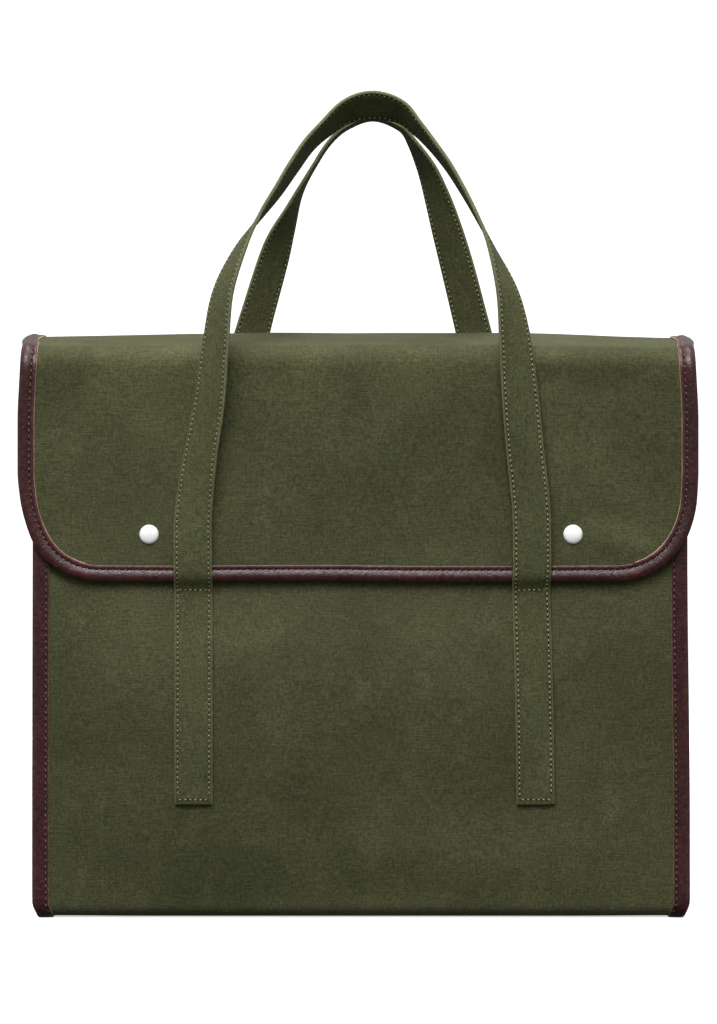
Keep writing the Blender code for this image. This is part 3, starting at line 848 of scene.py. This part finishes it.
def binding_section(width, held, row, skive, swell):
    """(depth from the outer edge, height) round a folded strip. held is the thickness inside it, row
    the depth of the stitches, skive how far the cut edge slopes out and swell how full the roll is."""
    inner = held / 2
    outer = inner + LEATHER
    rise = 0.00006 if width - row > 0.0022 else -0.00004
    skin = [
        (width + skive, inner + 0.00012),
        (width, outer - 0.00024),
        (width - 0.0005, outer + rise - 0.00006),
        (row + 0.0009, outer + rise),
        (row + 0.0004, outer - 0.00022),
        (row, outer - 0.00040),
        (row - 0.0004, outer - 0.00024),
        (row - 0.0012, outer + 0.20 * swell),
        (row * 0.60, outer + 0.72 * swell),
        (row * 0.38, outer + swell),
        (0.0016, outer + 0.30 * swell),
        (0.0008, outer - 0.00055),
        (0.00025, outer * 0.52),
    ]
    face = skin + [(0.0, 0.0)]
    mirrored = [(depth, -height) for depth, height in reversed(skin)]
    fold = LEATHER * 1.1
    lining = [(width, -inner), (fold, -inner * 0.9), (fold, inner * 0.9), (width, inner)]
    return face + mirrored + lining


flap_section = binding_section(BINDING, CANVAS + 2 * GAP, FLAP_STITCH, 0.00034, 0.00084)
seam_section = binding_section(BINDING, CANVAS + 2 * GAP, SEAM_STITCH, 0.00012, 0.00026)
# round the section: 13 points of one skin, the outer fold, 13 of the other skin, 4 of the lining
SKIN_POINTS = 13
cut_faces = (0, 2 * SKIN_POINTS - 1, 2 * SKIN_POINTS, len(flap_section) - 1)
# Painted highlight: these ridges of the strip are made paler, as where light catches them.
strip_painted_highlight = [0.0] * len(flap_section)
for index in (1, 2, 2 * SKIN_POINTS - 2, 2 * SKIN_POINTS - 1):
    strip_painted_highlight[index] = 0.35  # beside the cut edges
for index in (10, 11, 12, 14, 15, 16):
    strip_painted_highlight[index] = 0.30  # either side of the outer fold
print("binding section has", len(flap_section), "points")


def stitch_line(stations, face, row):
    """Row of (point, outwards) where the needle goes down a binding, on one face of it."""
    height = CANVAS / 2 + GAP + LEATHER - 0.00028
    return [
        (origin + sideways * row + outwards * (face * height), outwards * face)
        for origin, sideways, outwards in stations
    ]


def side_stations(line, side, half):
    """Stations of a binding that follows a cloth's line along one side."""
    return [
        (Vector((side * half, point.y, point.z)), Vector((-side, 0, 0)), outward(line, i))
        for i, point in enumerate(line)
    ]


def on_bottom_run(station):
    """The cut edge along the flap's bottom was inked dark, so no tan shows there."""
    return station[1].z > 0.97


def bind_edge(name, stations, section, swell, depth, sewing, nodes):
    """The leather strip along some stations, and its stitches on both faces."""
    leather = carried_section(
        f"{name}_leather", stations, section, [leather_finish, edge_finish],
        swell, strip_painted_highlight, cut_faces, dyed=on_bottom_run,
    )
    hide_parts(*nodes)
    rows = [stitch_line(stations, face, depth) for face in (1, -1)]
    stitches = sew(f"{name}_stitches", rows, sewing, brown_thread, swell)
    return leather, stitches


# %% Side seam bindings
for side_name, side in SIDES:
    for piece in bind_edge(
        f"{side_name}_seam", side_stations(body_line, side, HALF_WIDTH), seam_section, body_swell,
        SEAM_STITCH, SEAM_SEWING, (f"{side_name}_seam_binding",),
    ):
        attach(piece, "root")

# %% [markdown]
# ## The flap
# One cloth is sewn to the back, turns over the back fold, crosses the top, turns down at the front
# fold and ends in two round corners. It is cut in two only at the middle of the top.

# %% Flap cloth
FLAP_CLOTH_HALF = FLAP_HALF - CLOTH_INSET


def corner_half(z):
    """Half the cloth's width at a height, drawn in where its lower corners are round."""
    radius = FLAP_CORNER - CLOTH_INSET
    above = z - (FLAP_EDGE + CLOTH_INSET)
    if above >= radius:
        return FLAP_CLOTH_HALF
    return FLAP_CLOTH_HALF - radius + math.sqrt(max(0.0, radius**2 - (radius - above) ** 2))


def make_flap_cloth(name, line, offset, nodes):
    """Half of the flap's cloth. offset is how far along the whole cloth this half starts."""
    rows = [offset + gone for gone in travelled(line)]
    columns = divided(-FLAP_CLOTH_HALF, FLAP_CLOTH_HALF, QUAD)

    def lay(x, row):
        point = line[row]
        on_front = point.y < -FLAP_OUT + 0.001
        half = corner_half(point.z) if on_front else FLAP_CLOTH_HALF
        true_x = x * half / FLAP_CLOTH_HALF
        return Vector((true_x, point.y, point.z)), true_x

    def wear_and_painted_light(x, row):
        """Rubbed pale along the folds."""
        point = line[row]
        in_turn = hump(abs(point.y), FLAP_OUT - 0.002, 0.007)
        return 0.16 * (in_turn * between(point.z, FRONT_FOLD.z - 0.012, FRONT_FOLD.z))

    piece = cut_cloth(name, columns, rows, lay, flap_swell, wear_and_painted_light)
    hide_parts(*nodes)
    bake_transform(piece)


back_length = travelled(flap_back_line)[-1]
make_flap_cloth(
    "flap_back_canvas", flap_back_line, 0.0, ("flap_yoke", "flap_top_panel")
)
make_flap_cloth(
    "flap_front_canvas", flap_front_line, back_length, ("flap_front_panel",)
)


# %% Flap binding
def flap_edge_stations():
    """Down the left edge of the front, round both corners and up the right, from the top's middle."""
    straight = sum(point.z > FLAP_EDGE + FLAP_CORNER for point in flap_front_line)
    stations = side_stations(flap_front_line, -1, FLAP_HALF)[:straight]
    centre_x = FLAP_HALF - FLAP_CORNER
    centre_z = FLAP_EDGE + FLAP_CORNER
    steps = 26
    forwards = Vector((0, -1, 0))
    for i in range(steps + 1):
        angle = math.pi * (1 + 0.5 * i / steps)
        away = Vector((math.cos(angle), 0, math.sin(angle)))
        origin = Vector((-centre_x, -FLAP_OUT, centre_z)) + away * FLAP_CORNER
        stations.append((origin, -away, forwards))
    bottom = divided(-centre_x, centre_x, QUAD)[1:-1]
    stations += [(Vector((x, -FLAP_OUT, FLAP_EDGE)), Vector((0, 0, 1)), forwards) for x in bottom]
    flip = Matrix.Diagonal((-1, 1, 1))
    half = len(stations) - len(bottom)
    stations += [(flip @ o, flip @ s, n) for o, s, n in reversed(stations[:half])]
    return stations


def bind_flap(name, stations, nodes):
    for piece in bind_edge(name, stations, flap_section, flap_swell, FLAP_STITCH, FLAP_SEWING, nodes):
        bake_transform(piece)


bind_flap("flap_edge", flap_edge_stations(), ("flap_edge_binding",))
for side_name, side in SIDES:
    stations = side_stations(flap_back_line, side, FLAP_HALF)
    nodes = (f"{side_name}_yoke_binding", f"{side_name}_top_binding")
    bind_flap(f"{side_name}_flap_side", stations, nodes)

# %% [markdown]
# ## Seams that only show from behind or with the flap open
# Two rows of stitches hold the flap's cloth to the back, and one row runs along the front edge of
# the mouth, where the canvas would otherwise fray. Nothing shows them from the front.

# %% Seams at the back and at the mouth
def sew_across(name, width, middle_out, heights, facing, swell):
    """Level rows of stitches between two bindings, on the outer face of the front or the back."""
    half = width - BINDING - 0.002
    out = middle_out + CANVAS / 2
    rows = []
    for z in heights:
        ends = [Vector((x, facing * out, z)) for x in divided(-half, half, 0.010)]
        rows.append([(end, Vector((0, facing, 0))) for end in ends])
    stitches = sew(name, rows, CLOTH_SEWING, olive_thread, swell)
    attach(stitches, "root")


yoke_rows = (YOKE_END + 0.0035, YOKE_END + 0.0095)
sew_across("yoke_stitches", FLAP_HALF, FLAP_OUT, yoke_rows, 1, flap_swell)
hem_row = (FRONT_TOP - 0.006,)
sew_across("mouth_stitches", HALF_WIDTH, PANEL_OUT, hem_row, -1, body_swell)

# %% [markdown]
# ## Handle straps
# A strap is canvas folded in three and sewn along both edges. It is sewn flat to the body, rises over
# the flap's edge, and as it climbs its inner edge lifts away from the flap until, at the grip, the
# strap lies over the hand. Each half is set by a few places with the turn there, and a smooth curve
# runs through them, because a strap held in the air has no other guide.

# %% A strap's path
FOOT_X = (foot_low.x + foot_high.x) / 2
FOOT_END = foot_low.z
FOOT_OUT = -(foot_low.y + foot_high.y) / 2
OVER_FLAP = -edge_low.y + 4 * GAP + STRAP / 2
STRAP_HALF = STRAP_WIDTH / 2

# (height, distance from the middle, out, turn in degrees), from the foot up
front_left_leg = [
    (FOOT_END, FOOT_X - 0.0018, FOOT_OUT, 0),
    (0.150, FOOT_X - 0.0017, FOOT_OUT, 0),
    (HANDLE_HINGE.z, FOOT_X - 0.0015, FOOT_OUT, 0),
    (HANDLE_HINGE.z + 0.0050, FOOT_X - 0.0015, FOOT_OUT + 0.0021, 0),
    (HANDLE_HINGE.z + 0.0110, FOOT_X - 0.0015, OVER_FLAP, 0),
    (0.235, 0.1071, OVER_FLAP + 0.0011, 2),
    (0.256, 0.1068, OVER_FLAP + 0.0010, 7),
    (0.290, 0.1029, 0.0550, 26),
    (0.330, 0.0963, 0.0560, 36),
    (0.368, 0.0922, 0.0558, 47),
    (0.400, 0.0876, 0.0535, 58),
    (0.430, 0.0757, 0.0478, 75),
    (0.4487, 0.0643, 0.0430, 92),
    (0.4644, 0.0535, 0.0388, 99),
    (0.4802, 0.0435, 0.0343, 103),
    (0.4955, 0.0330, 0.0294, 104),
    (0.5068, 0.0218, 0.0260, 109),
    (0.5176, 0.0078, 0.0236, 123),
]
front_right_leg = [
    (FOOT_END, FOOT_X + 0.0027, FOOT_OUT, 0),
    (0.150, FOOT_X + 0.0020, FOOT_OUT, 0),
    (HANDLE_HINGE.z, FOOT_X + 0.0008, FOOT_OUT, 0),
    (HANDLE_HINGE.z + 0.0050, FOOT_X + 0.0007, FOOT_OUT + 0.0021, 0),
    (HANDLE_HINGE.z + 0.0110, FOOT_X + 0.0005, OVER_FLAP, 0),
    (0.235, 0.1088, OVER_FLAP + 0.0011, 0),
    (0.262, 0.1082, OVER_FLAP + 0.0010, 2),
    (0.300, 0.1042, 0.0545, 7),
    (0.340, 0.1005, 0.0555, 19),
    (0.370, 0.0978, 0.0556, 34),
    (0.400, 0.0930, 0.0535, 56),
    (0.430, 0.0825, 0.0478, 83),
    (0.4487, 0.0738, 0.0428, 90),
    (0.4644, 0.0656, 0.0386, 93),
    (0.4802, 0.0564, 0.0342, 96),
    (0.4955, 0.0453, 0.0298, 99),
    (0.5065, 0.0360, 0.0264, 105),
    (0.5168, 0.0252, 0.0238, 118),
]
front_grip = (0.5211, -0.0086, 0.0225, 135)
rear_left_leg = [
    (FOOT_END, FOOT_X, FOOT_OUT, 0),
    (0.150, FOOT_X, FOOT_OUT, 0),
    (HANDLE_HINGE.z, FOOT_X, FOOT_OUT, 0),
    (0.260, 0.1010, FOOT_OUT, 0),
    (YOKE_END - 0.014, 0.0880, FOOT_OUT + 0.0002, 0),
    (YOKE_END + 0.003, 0.0845, OVER_FLAP, 2),
    (0.365, 0.0755, 0.0545, 14),
    (0.385, 0.0700, 0.0545, 28),
    (0.422, 0.0590, 0.0486, 38),
    (0.4382, 0.0539, 0.0445, 48),
    (0.4540, 0.0476, 0.0405, 70),
    (0.4697, 0.0407, 0.0362, 86),
    (0.4855, 0.0314, 0.0312, 90),
    (0.5013, 0.0207, 0.0262, 90),
    (0.5110, 0.0095, 0.0232, 90),
]
rear_right_leg = [
    (FOOT_END, FOOT_X, FOOT_OUT, 0),
    (0.150, FOOT_X, FOOT_OUT, 0),
    (HANDLE_HINGE.z, FOOT_X, FOOT_OUT, 0),
    (0.260, 0.1020, FOOT_OUT, 0),
    (YOKE_END - 0.014, 0.0900, FOOT_OUT + 0.0002, 0),
    (YOKE_END + 0.003, 0.0868, OVER_FLAP, 2),
    (0.365, 0.0780, 0.0545, 12),
    (0.385, 0.0730, 0.0545, 22),
    (0.422, 0.0635, 0.0486, 30),
    (0.4540, 0.0543, 0.0405, 44),
    (0.4697, 0.0492, 0.0355, 55),
    (0.4855, 0.0430, 0.0305, 66),
    (0.5013, 0.0339, 0.0255, 83),
    (0.5105, 0.0262, 0.0232, 89),
]
rear_grip = (0.5169, -0.0079, 0.0212, 90)


def curve_through(points, spacing):
    """A smooth curve through points of any size, as tuples (Catmull-Rom by distance)."""
    knots = travelled([Vector(point[:3]) for point in points])
    slopes = []
    for i in range(len(points)):
        low, high = max(i - 1, 0), min(i + 1, len(points) - 1)
        span = knots[high] - knots[low]
        slopes.append([(b - a) / span for a, b in zip(points[low], points[high])])
    made = [points[0]]
    for i in range(len(points) - 1):
        span = knots[i + 1] - knots[i]
        parts = max(1, math.ceil(span / spacing))
        for step in range(1, parts + 1):
            t = step / parts
            keep = 2 * t**3 - 3 * t * t + 1, t**3 - 2 * t * t + t, 3 * t * t - 2 * t**3, t**3 - t * t
            made.append(tuple(
                keep[0] * a + keep[1] * span * m + keep[2] * b + keep[3] * span * n
                for a, m, b, n in zip(points[i], slopes[i], points[i + 1], slopes[i + 1])
            ))
    return made


def strap_stations(left_leg, right_leg, grip, facing):
    """(middle, width direction, face direction) from the left foot over the grip to the right foot."""
    places = [(-x, out, z, math.radians(turn)) for z, x, out, turn in left_leg]
    places.append((-grip[1], grip[2], grip[0], math.radians(grip[3])))
    places += [(x, out, z, math.radians(turn)) for z, x, out, turn in reversed(right_leg)]
    fine = curve_through(places, 0.003)
    near = [fine[max(i - 4, 0): i + 5] for i in range(len(fine))]
    turns = [sum(place[3] for place in some) / len(some) for some in near]
    middles = [Vector((x, facing * out, z)) for x, out, z, _ in fine]
    stations = []
    for i, middle in enumerate(middles):
        run = (middles[min(i + 1, len(middles) - 1)] - middles[max(i - 1, 0)]).normalized()
        level = Vector((run.z, 0, -run.x)).normalized()
        away = Vector((0, facing, 0))
        across = level * math.cos(turns[i]) + away * math.sin(turns[i])
        across = (across - run * across.dot(run)).normalized()
        stations.append((middle, across, run.cross(across) * facing))
    return stations


# %% Strap section
STITCH_INSET = 0.0022  # from the strap's edge in to its row of stitches


def strap_section():
    """(sideways, outwards) round a sewn strap: folded edges, a valley at each row of stitches."""
    half = STRAP_HALF
    face = STRAP / 2
    row = half - STITCH_INSET
    side = [
        (half, 0.0),
        (half - 0.00015, face * 0.62),
        (half - 0.0006, face * 0.95),
        (half - 0.0013, face),
        (row, face - 0.00034),
        (row - 0.0010, face),
        (row - 0.0030, face + 0.00008),
        (row * 0.35, face),
    ]
    top = side + [(-x, y) for x, y in reversed(side)]
    below = [(x, -y) for x, y in reversed(top[1:-1])]
    return top + below


strap_profile = strap_section()
# Painted highlight: the strap's folded edges are made paler, as where light catches them.
strap_edge_highlight = [
    0.62 if abs(abs(x) - STRAP_HALF) < 0.0004 else 0.38 if abs(x) > STRAP_HALF - 0.0009 else 0.0
    for x, _ in strap_profile
]


def folded_end(depth, height, gone, length):
    """Draws the section in at the strap's two ends, where the canvas is folded under."""
    from_end = min(gone, length - gone)
    full_depth = 0.985 + 0.015 * between(from_end, 0.0, 0.002)
    full_height = 0.45 + 0.55 * between(from_end, -0.001, 0.0016)
    return depth * full_depth, height * full_height


def strap_swell(point):
    """Below its bending line a strap lies on the body, and above it hangs free."""
    free = between(point.z, HANDLE_HINGE.z + 0.002, HANDLE_HINGE.z + 0.020)
    return body_swell(point).lerp(Vector(point), free)


# %% Sew the straps
def stitch_rows(stations):
    """A row along each edge, on each face, pulled a little way into the canvas."""
    height = STRAP / 2 - 0.0002
    rows = []
    for side in (-1, 1):
        reach = side * (STRAP_HALF - STITCH_INSET)
        for face in (-1, 1):
            rows.append([(m + a * reach + n * (face * height), n * face) for m, a, n in stations])
    return rows


def make_strap(which, stations):
    piece = carried_section(
        f"{which}_handle_strap", stations, strap_profile, [strap_finish],
        strap_swell, strap_edge_highlight, taper=folded_end,
    )
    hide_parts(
        f"{which}_handle_loop", f"{which}_left_handle_foot", f"{which}_right_handle_foot"
    )
    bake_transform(piece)
    length = travelled([station[0] for station in stations])[-1]
    edge_rows = stitch_rows(stations[2:-2])
    stitches = sew(
        f"{which}_strap_stitches", edge_rows, STRAP_SEWING, olive_thread, strap_swell
    )
    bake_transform(stitches)
    crossings = []
    for foot in (stations, list(reversed(stations))):
        low = min(foot[:60], key=lambda s: abs(s[0].z - (FOOT_END + 0.0030)))
        high = min(foot[:80], key=lambda s: abs(s[0].z - (HANDLE_HINGE.z + 0.0026)))
        for m, a, n in (low, high):
            reach = a * (STRAP_HALF - STITCH_INSET)
            lift = n * (STRAP / 2 + 0.00002)
            crossings.append([(m - reach + lift, n), (m + reach + lift, n)])
    box = sew(
        f"{which}_foot_stitches", crossings, STRAP_SEWING, olive_thread, strap_swell
    )
    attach(box, "root")


make_strap("front", strap_stations(front_left_leg, front_right_leg, front_grip, -1))
make_strap("rear", strap_stations(rear_left_leg, rear_right_leg, rear_grip, 1))

# %% [markdown]
# ## Snap fasteners
# Each cap is a shallow dome with a rolled rim, spun from its profile. Round it the flap's ripples are
# held flat, where the post pulls the canvas in. The socket, stud and rivet are the frame's own turned
# parts in a duller metal.

# %% Snap caps
def make_cap(side_name):
    low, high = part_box(f"{side_name}_snap_cap")
    centre = (low + high) / 2
    radius = high.x - centre.x
    base = -FLAP_OUT - CANVAS / 2
    rise = base - low.y
    profile = [(0.0, rise)]
    for i in range(1, 9):
        angle = math.pi / 2 * i / 9
        profile.append((radius * 0.965 * math.sin(angle), rise * (0.30 + 0.70 * math.cos(angle))))
    profile += [
        (radius * 0.985, rise * 0.26), (radius, rise * 0.16), (radius * 0.985, rise * 0.05),
        (radius * 0.93, 0.0), (0.0, 0.0),
    ]
    bm = bmesh.new()
    verts = [bm.verts.new((x, -y, 0)) for x, y in profile]
    edges = [bm.edges.new(pair) for pair in zip(verts, verts[1:])]
    bmesh.ops.spin(
        bm, geom=verts + edges, cent=(0, 0, 0), axis=(0, 1, 0), angle=math.tau, steps=48,
        use_merge=True,
    )
    bmesh.ops.remove_doubles(bm, verts=bm.verts, dist=1e-6)
    bmesh.ops.recalc_face_normals(bm, faces=bm.faces)
    bmesh.ops.translate(bm, verts=bm.verts, vec=(centre.x, base, centre.z))
    piece = sewn_piece(f"{side_name}_snap_dome", bm, [cap_finish])
    piece.data.set_sharp_from_angle(angle=CAP_SHARP)
    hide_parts(f"{side_name}_snap_cap")
    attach(piece, "flap_front")
    print(f"{side_name} cap {2 * radius * 1000:.1f} mm across, {rise * 1000:.1f} mm high")


for side_name, _ in SIDES:
    make_cap(side_name)
    for part in ("socket", "stud", "post"):
        materials = frame["nodes"][f"{side_name}_snap_{part}"].data.materials
        materials.clear()
        materials.append(inner_finish)

# %% [markdown]
# ## Floor, light and camera
# A plain white floor and a bright even room. A wide soft light above the front shows the cloth's
# ripples and puts a band of light on the leather, a low one reaches under the flap's edge, a strip
# overhead lights the top, and one behind lights the back and the rear strap. The camera stands level
# with the middle of the bag and well back, with a long lens, so that the bag's sides stay parallel.

# %% Floor and backdrop
def plain_white(name, glow, albedo=0.9):
    finish = Finish(name)
    place = finish.node("ShaderNodeTexCoord", 3)
    tone = finish.grain(place, 3.0, 2.0)
    colour = finish.mix(tone, (albedo,) * 3, (albedo + 0.02,) * 3)
    return finish.done(
        colour, 0.85, Specular_IOR_Level=0.1, Emission_Color=(1.0, 1.0, 1.0), Emission_Strength=glow
    )


def stage_piece(name, bm, material):
    piece = new_piece(name, bm, [material])
    piece.visible_diffuse = False
    piece.visible_glossy = False
    return piece


bm = bmesh.new()
bmesh.ops.create_circle(bm, cap_ends=True, segments=96, radius=14.0)
stage_piece("floor", bm, plain_white("white_floor", 0.60))
bm = bmesh.new()
bmesh.ops.create_uvsphere(bm, u_segments=48, v_segments=24, radius=15.0)
bmesh.ops.reverse_faces(bm, faces=bm.faces)
backdrop = stage_piece("backdrop", bm, plain_white("white_backdrop", 1.0))
backdrop.visible_shadow = False

# %% Light
world = bpy.data.worlds.new("studio_room")
world.use_nodes = True
sky = world.node_tree
room = sky.nodes["Background"]
direction = sky.nodes.new("ShaderNodeTexCoord")
heights = sky.nodes.new("ShaderNodeSeparateXYZ")
fade = sky.nodes.new("ShaderNodeMapRange")
for socket, value in zip(fade.inputs[1:5], (-0.35, 0.55, 0.10, 0.60)):
    socket.default_value = value
sky.links.new(direction.outputs["Generated"], heights.inputs[0])
sky.links.new(heights.outputs["Z"], fade.inputs[0])
sky.links.new(fade.outputs[0], room.inputs["Strength"])
room.inputs["Color"].default_value = (1, 1, 1, 1)
bpy.context.scene.world = world
bpy.context.scene.view_settings.view_transform = "Standard"


def soft_light(name, place, aim, size, power, mirrored=True):
    lamp = bpy.data.lights.new(name, "AREA")
    lamp.shape = "RECTANGLE"
    lamp.size, lamp.size_y = size
    lamp.energy = power
    light = bpy.data.objects.new(name, lamp)
    light.location = place
    light.visible_camera = False
    light.visible_glossy = mirrored  # whether its shape shows in the leather's gloss
    light.rotation_euler = (Vector(aim) - Vector(place)).to_track_quat("-Z", "Y").to_euler()
    bpy.context.scene.collection.objects.link(light)


soft_light("front_softbox", (-0.35, -1.45, 2.05), (0, 0, 0.25), (1.4, 0.8), 50)
soft_light("low_softbox", (0.25, -2.0, 1.55), (0, 0, 0.25), (1.0, 0.25), 9)
soft_light("top_strip", (0.1, 0.1, 2.1), (0, 0, 0.3), (1.4, 0.7), 17)
soft_light("rear_fill", (0.7, 2.3, 1.3), (0, 0, 0.25), (1.4, 1.0), 26, mirrored=False)

# %% Camera
FRAME_WIDE, FRAME_HIGH = 717, 1024
VIEW_HIGH = 0.652  # height of what the camera takes in, at the front of the bag
CAMERA_BACK = 2.6
camera_data = bpy.data.cameras.new("camera")
camera = bpy.data.objects.new("camera", camera_data)
bpy.context.scene.collection.objects.link(camera)
camera.location = (-0.0016, SNAP.y - CAMERA_BACK, 0.2593)
camera.rotation_euler = (math.pi / 2, 0, 0)
camera_data.sensor_width = 36
camera_data.lens = camera_data.sensor_width * CAMERA_BACK / VIEW_HIGH
camera_data.clip_end = 50
bpy.context.scene.camera = camera
view_wide = VIEW_HIGH * FRAME_WIDE / FRAME_HIGH
print(f"lens {camera_data.lens:.0f} mm, frame {view_wide * 1000:.0f} mm wide")
